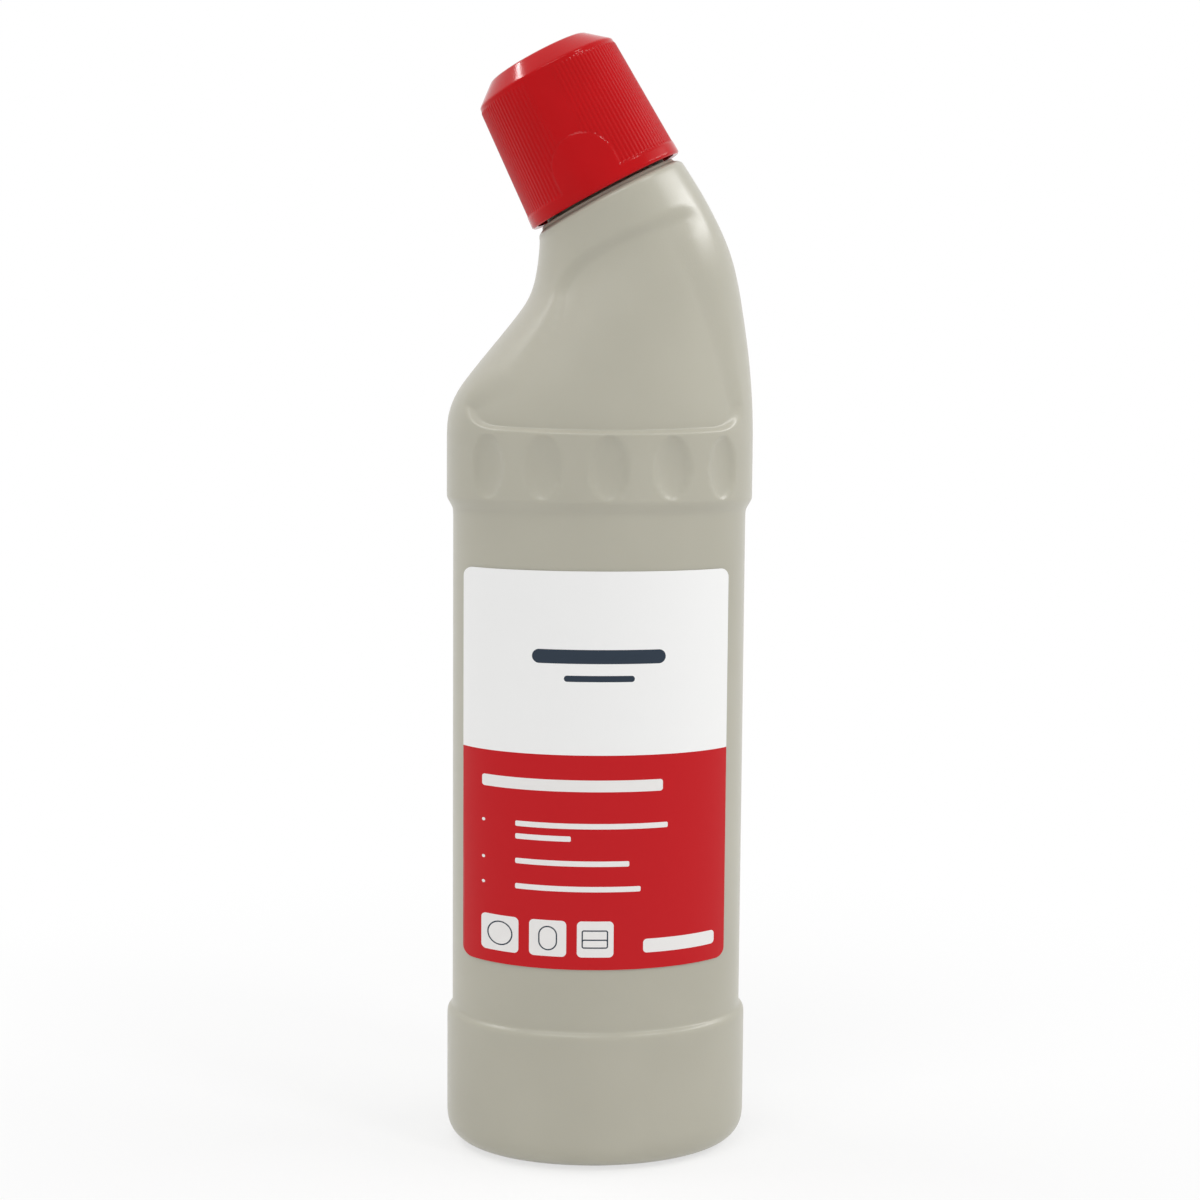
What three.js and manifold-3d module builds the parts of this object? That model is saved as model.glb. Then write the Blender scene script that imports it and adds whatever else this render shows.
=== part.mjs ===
// Toilet cleaner bottle with a bent neck, a jet spout and a squeeze-and-turn cap.
// Millimetres, +Z up, origin at the bottom centre, the label faces -Y and the neck leans to -X.
import * as THREE from 'three';
import { mergeVertices } from 'three/addons/utils/BufferGeometryUtils.js';
import Module from 'manifold-3d';

const wasm = await Module();
wasm.setup();

// Bottle body: half widths along X, half depths along Y, heights along Z.
const FOOT_HALF_WIDTH = 40.2;
const FOOT_HALF_DEPTH = 31;
const LABEL_RECESS = 1.4;
const BAND_RISE = 0.3;
const WALL = 1.0;
const BASE_CORNER = 7;
const FOOT_TOP = 34;
const FOOT_STEP = 5;
const BAND_BOTTOM = 173.5;
const BAND_STEP = 4;
const BAND_TOP = 190.5;
const PUSH_UP_DEPTH = 3;
const PUSH_UP_SHARE = 0.8;

// Relief of the blown body.
const DIMPLES_PER_FACE = 5;
const DIMPLE_STEP = THREE.MathUtils.degToRad(24.1);
const DIMPLE_HALF_WIDTH = 4.9;
const DIMPLE_HALF_HEIGHT = 8.2;
const DIMPLE_DEPTH = 0.9;
const DIMPLE_BALL_DEPTH = 4;
const DIMPLE_BALL_SPREAD = 1.35;
const PANEL_DEPTH = 1.3;
const PANEL_SIDE_KEPT = 6;

// Bent neck: its platform, its collar and its finish, measured along the leaning axis.
const NECK_TILT = THREE.MathUtils.degToRad(28);
const NECK_FOOT = new THREE.Vector3(2.45, 0, 250.6);
const PLATFORM_RADIUS = 21.2;
const PLATFORM_CORNER = 1.6;
const PLATFORM_RISE = 1.2;
const COLLAR_RADIUS = 19.3;
const COLLAR_HEIGHT = 2.6;
const NECK_RADIUS = 13.6;
const BORE_RADIUS = 11;
const BORE_DEPTH = 14;
const NECK_HEIGHT = 24;
const NECK_SUNK = 6;
const COLLAR_EASE = 0.6;
const NECK_EASE = 0.8;
const THREAD_LEAD = 4.2;
const THREAD_TURNS = 1.4;
const THREAD_HEIGHT = 1.2;
const THREAD_FOOT = 1.8;
const THREAD_CREST = 0.9;
const THREAD_START = 12;
const TOOTH_HEIGHT = 3;
const TOOTH_REACH = 3.4;
const TOOTH_WIDTH = 3;
// How deep a ridge, tooth or wall is rooted in the wall that carries it.
const ROOTED = 0.3;

// Cap, measured from its rim along the same axis.
const CAP_LIFT = 3.3;
const CAP_RIM_RADIUS = 21.2;
const CAP_LENGTH = 38.2;
const CAP_TAPER = THREE.MathUtils.degToRad(3.2);
const CHAMFER_HEIGHT = 4.6;
const CAP_TOP_RADIUS = 13.4;
const CAP_WALL = 1.3;
const CAP_TOP_WALL = 1.5;
const CAP_EASE = 0.6;
const BAND_HEIGHT = 3.3;
const BAND_PROUD = 0.35;
const PAD_RADIUS = 8;
const PAD_HEIGHT = 15.3;
const PAD_TURN_DEGREES = -9;
const RIB_COUNT = 96;
const RIB_PROUD = 0.3;
const RIB_END_GAP = 1.2;
const PLAIN_STRIP = 7;
const SLEEVE_CLEARANCE = 0.45;
const SLEEVE_WALL = 1.2;
const SLEEVE_BOTTOM = 8;
const LUG_CLEARANCE = 0.5;
const LUG_BOTTOM = 0.4;
const LUG_HEIGHT = 5;
const LUG_TURN_DEGREES = 25;

// Spout insert, sealing disc, label and contents.
const FIT = 0.3;
const INSERT_DEPTH = 19;
const INSERT_WALL = 1;
const FLANGE_THICKNESS = 1.2;
const FLANGE_EASE = 0.3;
const SPOUT_FOOT_RADIUS = 6.6;
const SPOUT_FOOT_RISE = 1.6;
const SPOUT_RADIUS = 4.4;
const SPOUT_RISE = 4;
const JET_LENGTH = 3;
const SPOUT_TIP_RADIUS = 3.2;
const ORIFICE_RADIUS = 1.6;
const DISC_RADIUS = 6.5;
const DISC_THICKNESS = 1.5;
const HOLDER_WALL = 1;
const HOLDER_HEIGHT = 2.2;
const LABEL_WIDTH = 68.5;
const LABEL_MIDDLE = -1.8;
const LABEL_BOTTOM = 53.5;
const LABEL_TOP = 156;
const LABEL_CORNER = 2.4;
const LABEL_THICKNESS = 0.2;
const LABEL_FIT = 0.1;
const FILL_LEVEL = 226;

// Facets round each form.
const BODY_FACETS = 48;
const NECK_FACETS = 36;
const CAP_FACETS = 48;
const THREAD_FACETS = 20;
const SHOULDER_STEPS = 12;
const CAVITY_STEPS = 6;
const CORNER_STEPS = 4;

const { sin, cos, tan, sign, PI, min, max } = Math;

function material(color, roughness) {
  return new THREE.MeshStandardMaterial({ color, roughness, metalness: 0 });
}

function toSolid(geometry) {
  const bare = geometry.clone();
  bare.deleteAttribute('normal');
  bare.deleteAttribute('uv');
  const merged = mergeVertices(bare, 1e-4);
  return new wasm.Manifold(new wasm.Mesh({
    numProp: 3,
    vertProperties: new Float32Array(merged.attributes.position.array),
    triVerts: new Uint32Array(merged.index.array),
  }));
}

function toGeometry(solid) {
  const { vertProperties, triVerts } = solid.getMesh();
  const geometry = new THREE.BufferGeometry();
  geometry.setAttribute('position', new THREE.BufferAttribute(vertProperties, 3));
  geometry.setIndex(new THREE.BufferAttribute(triVerts, 1));
  geometry.computeVertexNormals();
  return geometry;
}

// A closed skin over rings of points that run counter-clockwise seen from above, lowest ring first.
function skin(rings) {
  const count = rings[0].length;
  const points = rings.flat();
  const faces = [];
  for (let i = 0; i + 1 < rings.length; i += 1) {
    for (let j = 0; j < count; j += 1) {
      const a = i * count + j;
      const b = i * count + ((j + 1) % count);
      faces.push(a, b, a + count, b, b + count, a + count);
    }
  }
  const middle = (ring) => ring.reduce((sum, p) => sum.add(p), new THREE.Vector3()).divideScalar(count);
  const last = (rings.length - 1) * count;
  points.push(middle(rings[0]), middle(rings[rings.length - 1]));
  for (let j = 0; j < count; j += 1) {
    const next = (j + 1) % count;
    faces.push(points.length - 2, next, j);
    faces.push(points.length - 1, last + j, last + next);
  }
  const geometry = new THREE.BufferGeometry().setFromPoints(points);
  geometry.setIndex(faces);
  return toSolid(geometry);
}

// A turned solid about Z from [radius, height] points that start and end on the axis.
function turned(profile, facets) {
  const points = profile.map(([r, z]) => new THREE.Vector2(r, z));
  return toSolid(new THREE.LatheGeometry(points, facets).rotateX(PI / 2));
}

function ringOf(outer, inner, bottom, top, facets) {
  const body = turned([[0, bottom], [outer, bottom], [outer, top], [0, top]], facets);
  const hole = turned([[0, bottom - 1], [inner, bottom - 1], [inner, top + 1], [0, top + 1]], facets);
  return body.subtract(hole);
}

function box(width, depth, height, x, y, z) {
  return toSolid(new THREE.BoxGeometry(width, depth, height).translate(x, y, z));
}

// An oval ring between a left and a right point of the front outline.
function sectionRing(left, right, halfDepth) {
  const centre = left.clone().add(right).multiplyScalar(0.5);
  const half = right.clone().sub(left).multiplyScalar(0.5);
  return Array.from({ length: BODY_FACETS }, (_, i) => {
    const turn = (i * 2 * PI) / BODY_FACETS;
    const x = centre.x + half.x * cos(turn);
    const z = centre.y + half.y * cos(turn);
    return new THREE.Vector3(x, halfDepth * sin(turn), z);
  });
}

function levelRing(z, inset) {
  const halfWidth = FOOT_HALF_WIDTH - inset;
  const left = new THREE.Vector2(-halfWidth, z);
  const right = new THREE.Vector2(halfWidth, z);
  return sectionRing(left, right, FOOT_HALF_DEPTH - inset);
}

const neckFrame = new THREE.Matrix4().makeRotationY(-NECK_TILT).setPosition(NECK_FOOT);
const neckAcross = new THREE.Vector2(cos(NECK_TILT), sin(NECK_TILT));
const neckFootInFront = new THREE.Vector2(NECK_FOOT.x, NECK_FOOT.z);

function inNeckFrame(solid) {
  return solid.transform(neckFrame.toArray());
}

const platformLeft = neckFootInFront.clone().addScaledVector(neckAcross, -PLATFORM_RADIUS);
const platformRight = neckFootInFront.clone().addScaledVector(neckAcross, PLATFORM_RADIUS);
const bandHalfWidth = FOOT_HALF_WIDTH + BAND_RISE;
const bandHalfDepth = FOOT_HALF_DEPTH + BAND_RISE;

// The two sides of the shoulder in the front outline, from the band up to the platform; the points
// between are shares of the way across and up.
function shoulderSide(low, high, shares) {
  const between = shares.map(([across, up]) => new THREE.Vector2(
    low.x + (high.x - low.x) * across,
    low.y + (high.y - low.y) * up,
  ));
  return new THREE.SplineCurve([low, ...between, high]);
}

const shoulderLeft = shoulderSide(new THREE.Vector2(-bandHalfWidth, BAND_TOP), platformLeft, [
  [0.03, 0.11], [0.17, 0.25], [0.765, 0.61], [0.92, 0.735], [0.985, 0.89],
]);
const shoulderRight = shoulderSide(new THREE.Vector2(bandHalfWidth, BAND_TOP), platformRight, [
  [0.025, 0.157], [0.114, 0.371], [0.307, 0.643], [0.638, 0.843],
]);

function shoulderRing(share, inset) {
  const left = shoulderLeft.getPointAt(share);
  const right = shoulderRight.getPointAt(share);
  const inward = right.clone().sub(left).normalize().multiplyScalar(inset);
  const ease = THREE.MathUtils.smoothstep(share, 0, 1) * 0.55 + share * 0.45;
  const halfDepth = THREE.MathUtils.lerp(bandHalfDepth, PLATFORM_RADIUS, ease) - inset;
  return sectionRing(left.add(inward), right.sub(inward), halfDepth);
}

// The whole blown form, drawn in by inset on every side, with its recessed label field and its band.
function blownForm(inset, shoulderSteps, cornerSteps) {
  const corner = max(BASE_CORNER - inset, BASE_CORNER / 7);
  const rings = [];
  for (let i = 0; i <= cornerSteps; i += 1) {
    const turn = (i / cornerSteps) * (PI / 2);
    rings.push(levelRing(inset + corner * (1 - cos(turn)), inset + corner * (1 - sin(turn))));
  }
  const step = (share, depth) => levelRing(FOOT_TOP + FOOT_STEP * share, inset + LABEL_RECESS * depth);
  rings.push(step(0, 0), step(0.3, 0.15), step(0.75, 0.85), step(1, 1));
  rings.push(levelRing(BAND_BOTTOM - BAND_STEP, inset + LABEL_RECESS));
  rings.push(levelRing(BAND_BOTTOM - BAND_STEP * 0.3, inset + LABEL_RECESS * 0.35));
  rings.push(levelRing(BAND_BOTTOM, inset - BAND_RISE));
  for (let i = 0; i <= shoulderSteps; i += 1) {
    rings.push(shoulderRing(i / shoulderSteps, inset));
  }
  return rings;
}

// The outside of the blown form, whose last ring gives way to a rounded edge up to the platform.
function outerForm() {
  const rings = blownForm(0, SHOULDER_STEPS, CORNER_STEPS).slice(0, -1);
  for (let i = 0; i < CORNER_STEPS; i += 1) {
    const turn = (i / (CORNER_STEPS - 1)) * (PI / 2);
    const radius = PLATFORM_RADIUS - PLATFORM_CORNER * (1 - cos(turn));
    rings.push(neckRing(radius, PLATFORM_RISE + PLATFORM_CORNER * (sin(turn) - 1)));
  }
  return skin(rings);
}

function neckRing(radius, along) {
  const up = new THREE.Vector2(-sin(NECK_TILT), cos(NECK_TILT));
  const centre = neckFootInFront.clone().addScaledVector(up, along);
  const left = centre.clone().addScaledVector(neckAcross, -radius);
  const right = centre.clone().addScaledVector(neckAcross, radius);
  return sectionRing(left, right, radius);
}

// A helical ridge about Z that fades out at both ends; a negative height points inwards.
function helix(rootRadius, height, start) {
  const steps = Math.round(THREAD_TURNS * THREAD_FACETS);
  const fade = THREAD_FACETS / 8;
  const root = rootRadius - sign(height) * ROOTED;
  const rings = [];
  for (let i = 0; i <= steps; i += 1) {
    const turn = (i / steps) * THREAD_TURNS * 2 * PI;
    const full = min(1, i / fade, (steps - i) / fade);
    const reach = rootRadius + height * max(full, 0.05);
    const middle = start + (THREAD_LEAD * turn) / (2 * PI);
    const corners = [
      [root, middle - THREAD_FOOT / 2],
      [reach, middle - THREAD_CREST / 2],
      [reach, middle + THREAD_CREST / 2],
      [root, middle + THREAD_FOOT / 2],
    ];
    rings.push(corners.map(([r, z]) => new THREE.Vector3(r * cos(turn), r * sin(turn), z)));
  }
  const sections = height > 0 ? rings : rings.map((ring) => ring.slice().reverse());
  return skin(sections.reverse());
}

// The outline of the recessed shoulder panel, seen from the front, spread from its middle. Its points
// are shares of the band's half width and of the shoulder's height.
function panelOutline(grow) {
  const height = NECK_FOOT.z - BAND_TOP;
  const at = (across, up) => [bandHalfWidth * across, BAND_TOP + height * up];
  const outline = new THREE.Shape();
  outline.moveTo(...at(-0.88, 0.1));
  outline.quadraticCurveTo(...at(-0.84, 0.035), ...at(-0.65, 0.025));
  outline.quadraticCurveTo(...at(0.05, 0), ...at(0.7, 0.025));
  outline.quadraticCurveTo(...at(0.86, 0.035), ...at(0.9, 0.12));
  outline.quadraticCurveTo(...at(0.76, 0.64), ...at(0.68, 0.86));
  outline.quadraticCurveTo(...at(0.63, 1.0), ...at(0.46, 0.97));
  outline.quadraticCurveTo(...at(0.36, 0.95), ...at(0.2, 0.88));
  outline.quadraticCurveTo(...at(-0.27, 0.77), ...at(-0.345, 0.6));
  outline.quadraticCurveTo(...at(-0.39, 0.5), ...at(-0.7, 0.26));
  const middle = new THREE.Vector2(...at(0.05, 0.4));
  const spread = 1 + grow / (PLATFORM_RADIUS * 2);
  const points = outline.getPoints(6).map((p) => p.sub(middle).multiplyScalar(spread).add(middle));
  return new THREE.Shape(points);
}

// What the panel takes away down to a given depth under the blown surface, on both faces; the two
// narrow sides of the shoulder stay whole.
function panelCut(depth, grow) {
  const span = 4 * FOOT_HALF_DEPTH;
  const geometry = new THREE.ExtrudeGeometry(panelOutline(grow), { depth: span, bevelEnabled: false });
  const prism = toSolid(geometry.rotateX(PI / 2).translate(0, span / 2, 0));
  const sides = box(span, 2 * PANEL_SIDE_KEPT, span, 0, 0, NECK_FOOT.z);
  return prism.subtract(skin(blownForm(depth, SHOULDER_STEPS, CORNER_STEPS))).subtract(sides);
}

// Upright oval dimples along the band, on both faces: balls whose inner side reaches the dimple's depth.
function dimples(grow) {
  const middle = (BAND_TOP + BAND_BOTTOM) / 2;
  const lift = DIMPLE_BALL_DEPTH - DIMPLE_DEPTH;
  const solids = [];
  for (const face of [-1, 1]) {
    for (let i = 0; i < DIMPLES_PER_FACE; i += 1) {
      const turn = (i - (DIMPLES_PER_FACE - 1) / 2) * DIMPLE_STEP;
      const across = sin(turn);
      const along = face * cos(turn);
      const facing = new THREE.Vector2(across / bandHalfWidth, along / bandHalfDepth).normalize();
      const ball = new THREE.SphereGeometry(1, 10, 6).scale(
        DIMPLE_HALF_WIDTH * DIMPLE_BALL_SPREAD + grow,
        DIMPLE_BALL_DEPTH + grow,
        DIMPLE_HALF_HEIGHT * DIMPLE_BALL_SPREAD + grow,
      );
      ball.rotateZ(Math.atan2(facing.y, facing.x) - PI / 2);
      ball.translate(
        bandHalfWidth * across + facing.x * lift,
        bandHalfDepth * along + facing.y * lift,
        middle,
      );
      solids.push(toSolid(ball));
    }
  }
  return solids.reduce((all, one) => all.add(one));
}

function pushUp(grow) {
  const halfWidth = (FOOT_HALF_WIDTH - BASE_CORNER) * PUSH_UP_SHARE + grow;
  const halfDepth = (FOOT_HALF_DEPTH - BASE_CORNER) * PUSH_UP_SHARE + grow;
  const dome = new THREE.SphereGeometry(1, 24, 8).rotateX(PI / 2);
  return toSolid(dome.scale(halfWidth, halfDepth, PUSH_UP_DEPTH + grow));
}

// Two locking teeth at the foot of the neck, at the sides that don't get squeezed.
function neckTeeth() {
  const reach = NECK_RADIUS + TOOTH_REACH;
  const middle = COLLAR_HEIGHT + TOOTH_HEIGHT / 2 - ROOTED;
  const tooth = box(TOOTH_REACH * 2, TOOTH_WIDTH, TOOTH_HEIGHT, reach - TOOTH_REACH, 0, middle);
  return tooth.add(tooth.rotate([0, 0, 180]));
}

// The collar and the threaded finish, rooted in the shoulder.
function bottleNeck() {
  const finish = turned([
    [0, -NECK_SUNK], [COLLAR_RADIUS - NECK_SUNK / 3, -NECK_SUNK], [COLLAR_RADIUS, -NECK_SUNK / 3],
    [COLLAR_RADIUS, COLLAR_HEIGHT - COLLAR_EASE], [COLLAR_RADIUS - COLLAR_EASE, COLLAR_HEIGHT],
    [NECK_RADIUS + NECK_EASE, COLLAR_HEIGHT], [NECK_RADIUS, COLLAR_HEIGHT + NECK_EASE],
    [NECK_RADIUS, NECK_HEIGHT - NECK_EASE], [NECK_RADIUS - NECK_EASE, NECK_HEIGHT], [0, NECK_HEIGHT],
  ], NECK_FACETS);
  return finish.add(helix(NECK_RADIUS, THREAD_HEIGHT, THREAD_START)).add(neckTeeth());
}

function bore() {
  const top = NECK_HEIGHT + NECK_EASE;
  return turned([[0, -BORE_DEPTH], [BORE_RADIUS, -BORE_DEPTH], [BORE_RADIUS, top], [0, top]], NECK_FACETS);
}

// The inside of the blown form, which closes below the platform by the wall.
function plainCavity(inset) {
  const rings = blownForm(inset, CAVITY_STEPS, CORNER_STEPS);
  const last = neckRing(PLATFORM_RADIUS - PLATFORM_CORNER - inset, -PLATFORM_CORNER / 3 - inset);
  return skin([...rings.slice(0, -1), last]);
}

function cavity() {
  return plainCavity(WALL)
    .subtract(panelCut(PANEL_DEPTH + WALL, WALL))
    .subtract(dimples(WALL))
    .subtract(pushUp(WALL));
}

function bottle() {
  const outside = outerForm()
    .subtract(panelCut(PANEL_DEPTH, 0))
    .subtract(dimples(0))
    .subtract(pushUp(0));
  return outside.add(inNeckFrame(bottleNeck())).subtract(cavity()).subtract(inNeckFrame(bore()));
}

// The cleaner stands clear of the wall, of the dimples and of the recessed panels.
function cleaner() {
  const size = 4 * FOOT_HALF_WIDTH;
  const relief = max(DIMPLE_DEPTH, PANEL_DEPTH);
  const above = box(size, size, size, 0, 0, FILL_LEVEL + size / 2);
  return plainCavity(WALL + relief + FIT).subtract(pushUp(WALL + FIT)).subtract(above);
}

function frontLabel() {
  const outside = skin(blownForm(-LABEL_FIT - LABEL_THICKNESS, CAVITY_STEPS, CORNER_STEPS));
  const inside = skin(blownForm(-LABEL_FIT, CAVITY_STEPS, CORNER_STEPS));
  const left = LABEL_MIDDLE - LABEL_WIDTH / 2;
  const right = LABEL_MIDDLE + LABEL_WIDTH / 2;
  const r = LABEL_CORNER;
  const outline = new THREE.Shape();
  outline.moveTo(left + r, LABEL_BOTTOM);
  outline.lineTo(right - r, LABEL_BOTTOM);
  outline.absarc(right - r, LABEL_BOTTOM + r, r, -PI / 2, 0);
  outline.lineTo(right, LABEL_TOP - r);
  outline.absarc(right - r, LABEL_TOP - r, r, 0, PI / 2);
  outline.lineTo(left + r, LABEL_TOP);
  outline.absarc(left + r, LABEL_TOP - r, r, PI / 2, PI);
  outline.lineTo(left, LABEL_BOTTOM + r);
  outline.absarc(left + r, LABEL_BOTTOM + r, r, PI, PI * 1.5);
  const depth = 2 * FOOT_HALF_DEPTH;
  const sheet = new THREE.ExtrudeGeometry(outline, { depth, bevelEnabled: false, curveSegments: 4 });
  return outside.subtract(inside).intersect(toSolid(sheet.rotateX(PI / 2)));
}

// The cap's outer radius at a height above its rim, without band or ribs.
function skirtRadius(height) {
  return CAP_RIM_RADIUS - height * tan(CAP_TAPER);
}

function skirtSolid(proud, bottom, top, facets) {
  const profile = [
    [0, bottom], [skirtRadius(bottom) + proud, bottom], [skirtRadius(top) + proud, top], [0, top],
  ];
  return turned(profile, facets);
}

function capOutside() {
  const chamferBase = CAP_LENGTH - CHAMFER_HEIGHT;
  return turned([
    [0, 0], [skirtRadius(0), 0], [skirtRadius(chamferBase - CAP_EASE), chamferBase - CAP_EASE],
    [skirtRadius(chamferBase) - CAP_EASE / 2, chamferBase + CAP_EASE / 2],
    [CAP_TOP_RADIUS + CAP_EASE, CAP_LENGTH - CAP_EASE / 2], [CAP_TOP_RADIUS - CAP_EASE, CAP_LENGTH],
    [0, CAP_LENGTH],
  ], CAP_FACETS);
}

// The hollow is open through the rim and follows the skirt, the chamfer and the top.
function capHollow() {
  const chamferBase = CAP_LENGTH - CHAMFER_HEIGHT;
  const ceiling = CAP_LENGTH - CAP_TOP_WALL;
  const below = -CAP_WALL;
  return turned([
    [0, below], [skirtRadius(0) - CAP_WALL, below], [skirtRadius(0) - CAP_WALL, 0],
    [skirtRadius(chamferBase) - CAP_WALL, chamferBase - CAP_WALL / 2],
    [CAP_TOP_RADIUS - CAP_WALL / 2, ceiling], [0, ceiling],
  ], CAP_FACETS);
}

// Fine upright ribs round the skirt, left out above each squeeze pad.
function capRibs() {
  const bottom = BAND_HEIGHT - ROOTED;
  const top = CAP_LENGTH - CHAMFER_HEIGHT - RIB_END_GAP;
  const teeth = (height) => Array.from({ length: 2 * RIB_COUNT }, (_, i) => {
    const turn = (i * PI) / RIB_COUNT;
    const radius = skirtRadius(height) + (i % 2 ? RIB_PROUD : -RIB_PROUD / 2);
    return new THREE.Vector3(radius * cos(turn), radius * sin(turn), height);
  });
  const strip = box(PLAIN_STRIP, 4 * CAP_RIM_RADIUS, CAP_LENGTH, 0, 0, CAP_LENGTH / 2);
  return skin([teeth(bottom), teeth(top)]).subtract(strip);
}

// A band round the rim and two pads with round tops, one on each face.
function capBandAndPads() {
  const pad = new THREE.Shape();
  pad.moveTo(-PAD_RADIUS, BAND_HEIGHT / 2);
  pad.lineTo(PAD_RADIUS, BAND_HEIGHT / 2);
  pad.absarc(0, PAD_HEIGHT - PAD_RADIUS, PAD_RADIUS, 0, PI);
  const span = 4 * CAP_RIM_RADIUS;
  const prism = new THREE.ExtrudeGeometry(pad, { depth: span, bevelEnabled: false, curveSegments: 12 });
  const pads = toSolid(prism.rotateX(PI / 2).translate(0, span / 2, 0));
  const proud = skirtSolid(BAND_PROUD, 0, PAD_HEIGHT + PAD_RADIUS, CAP_FACETS);
  return skirtSolid(BAND_PROUD, 0, BAND_HEIGHT, CAP_FACETS).add(proud.intersect(pads));
}

// The sleeve inside the skirt, with the thread that runs on the neck's thread half a lead away.
function capSleeve() {
  const inner = NECK_RADIUS + THREAD_HEIGHT + SLEEVE_CLEARANCE;
  const top = CAP_LENGTH - CAP_TOP_WALL + ROOTED;
  const wall = ringOf(inner + SLEEVE_WALL, inner, SLEEVE_BOTTOM, top, NECK_FACETS);
  const threadStart = THREAD_START - CAP_LIFT + THREAD_LEAD / 2;
  return wall.intersect(capOutside()).add(helix(inner, -THREAD_HEIGHT, threadStart));
}

function capDiscHolder() {
  const inner = DISC_RADIUS + FIT;
  const ceiling = CAP_LENGTH - CAP_TOP_WALL;
  return ringOf(inner + HOLDER_WALL, inner, ceiling - HOLDER_HEIGHT, ceiling + ROOTED, NECK_FACETS);
}

// Two lugs inside the skirt, which lock on the neck's teeth when the skirt isn't squeezed.
function capLugs() {
  const reach = NECK_RADIUS + TOOTH_REACH + LUG_CLEARANCE;
  const width = skirtRadius(LUG_HEIGHT) - CAP_WALL + ROOTED - reach;
  const lug = box(width, TOOTH_WIDTH, LUG_HEIGHT, reach + width / 2, 0, LUG_BOTTOM + LUG_HEIGHT / 2);
  const placed = lug.rotate([0, 0, LUG_TURN_DEGREES]);
  return placed.add(placed.rotate([0, 0, 180]));
}

function cap() {
  return capRibs()
    .add(capBandAndPads())
    .rotate([0, 0, PAD_TURN_DEGREES])
    .add(capOutside())
    .subtract(capHollow())
    .add(capSleeve())
    .add(capDiscHolder())
    .add(capLugs());
}

const ceilingHeight = CAP_LIFT + CAP_LENGTH - CAP_TOP_WALL;
const discTop = ceilingHeight - FIT;
const spoutTip = discTop - DISC_THICKNESS - FIT;

function sealingDisc() {
  const bottom = discTop - DISC_THICKNESS;
  return turned([[0, bottom], [DISC_RADIUS, bottom], [DISC_RADIUS, discTop], [0, discTop]], NECK_FACETS);
}

// The spout is pressed into the bore: a sleeve, a flange on the neck's lip and a drawn-in jet.
function spoutInsert() {
  const sleeve = BORE_RADIUS - FIT;
  const under = NECK_HEIGHT + FIT;
  const over = under + FLANGE_THICKNESS;
  const bottom = NECK_HEIGHT - INSERT_DEPTH;
  const rim = NECK_RADIUS - NECK_EASE;
  const outside = turned([
    [0, bottom], [sleeve - INSERT_WALL / 2, bottom], [sleeve, bottom + INSERT_WALL], [sleeve, under],
    [rim, under], [rim, over - FLANGE_EASE], [rim - FLANGE_EASE, over],
    [sleeve - INSERT_WALL, over], [SPOUT_FOOT_RADIUS, over + SPOUT_FOOT_RISE],
    [SPOUT_RADIUS, over + SPOUT_RISE], [SPOUT_TIP_RADIUS, spoutTip - FLANGE_EASE],
    [SPOUT_TIP_RADIUS - FLANGE_EASE, spoutTip], [0, spoutTip],
  ], NECK_FACETS);
  const inside = turned([
    [0, bottom - INSERT_WALL], [sleeve - INSERT_WALL, bottom - INSERT_WALL],
    [sleeve - INSERT_WALL, over - 2 * INSERT_WALL],
    [SPOUT_FOOT_RADIUS - INSERT_WALL, over + SPOUT_FOOT_RISE - INSERT_WALL],
    [SPOUT_RADIUS - INSERT_WALL, over + SPOUT_RISE - INSERT_WALL / 2],
    [ORIFICE_RADIUS, spoutTip - JET_LENGTH], [ORIFICE_RADIUS, spoutTip + INSERT_WALL],
    [0, spoutTip + INSERT_WALL],
  ], NECK_FACETS);
  return outside.subtract(inside);
}

function piece(name, solid, look) {
  const mesh = new THREE.Mesh(toGeometry(solid), look);
  mesh.name = name;
  return mesh;
}

const toiletCleanerBottle = new THREE.Group();
toiletCleanerBottle.add(piece('bottle', bottle(), material(0xb0ad9d, 0.45)));
toiletCleanerBottle.add(piece('cleaner_liquid', cleaner(), material(0x2f6fb5, 0.15)));
toiletCleanerBottle.add(piece('front_label', frontLabel(), material(0xf2f2f0, 0.4)));

const onNeck = new THREE.Group();
onNeck.position.copy(NECK_FOOT);
onNeck.rotation.y = -NECK_TILT;
onNeck.add(piece('spout_insert', spoutInsert(), material(0xe9e9e4, 0.5)));
onNeck.add(piece('sealing_disc', sealingDisc(), material(0xf0efe9, 0.7)));
const capOnNeck = piece('cap', cap(), material(0xc41e24, 0.3));
capOnNeck.position.z = CAP_LIFT;
onNeck.add(capOnNeck);
toiletCleanerBottle.add(onNeck);

export default toiletCleanerBottle;
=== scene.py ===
import math

import bmesh
import bpy
from mathutils import Matrix, Vector


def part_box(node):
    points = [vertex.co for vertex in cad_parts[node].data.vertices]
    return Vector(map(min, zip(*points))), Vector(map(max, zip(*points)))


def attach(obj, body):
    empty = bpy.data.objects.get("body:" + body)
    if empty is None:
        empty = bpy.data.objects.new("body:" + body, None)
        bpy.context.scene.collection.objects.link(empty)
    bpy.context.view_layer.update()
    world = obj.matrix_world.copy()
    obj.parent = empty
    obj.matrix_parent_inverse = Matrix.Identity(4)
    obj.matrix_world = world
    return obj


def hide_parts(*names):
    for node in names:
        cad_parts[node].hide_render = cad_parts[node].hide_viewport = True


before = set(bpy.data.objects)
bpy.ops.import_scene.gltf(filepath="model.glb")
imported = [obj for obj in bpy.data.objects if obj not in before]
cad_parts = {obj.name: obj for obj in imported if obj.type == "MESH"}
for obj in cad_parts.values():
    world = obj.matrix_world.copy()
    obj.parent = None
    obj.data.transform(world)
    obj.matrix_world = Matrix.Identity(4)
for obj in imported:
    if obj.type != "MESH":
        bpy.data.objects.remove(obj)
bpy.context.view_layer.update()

MM = 0.001
bottle_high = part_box("bottle")[1]
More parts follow.
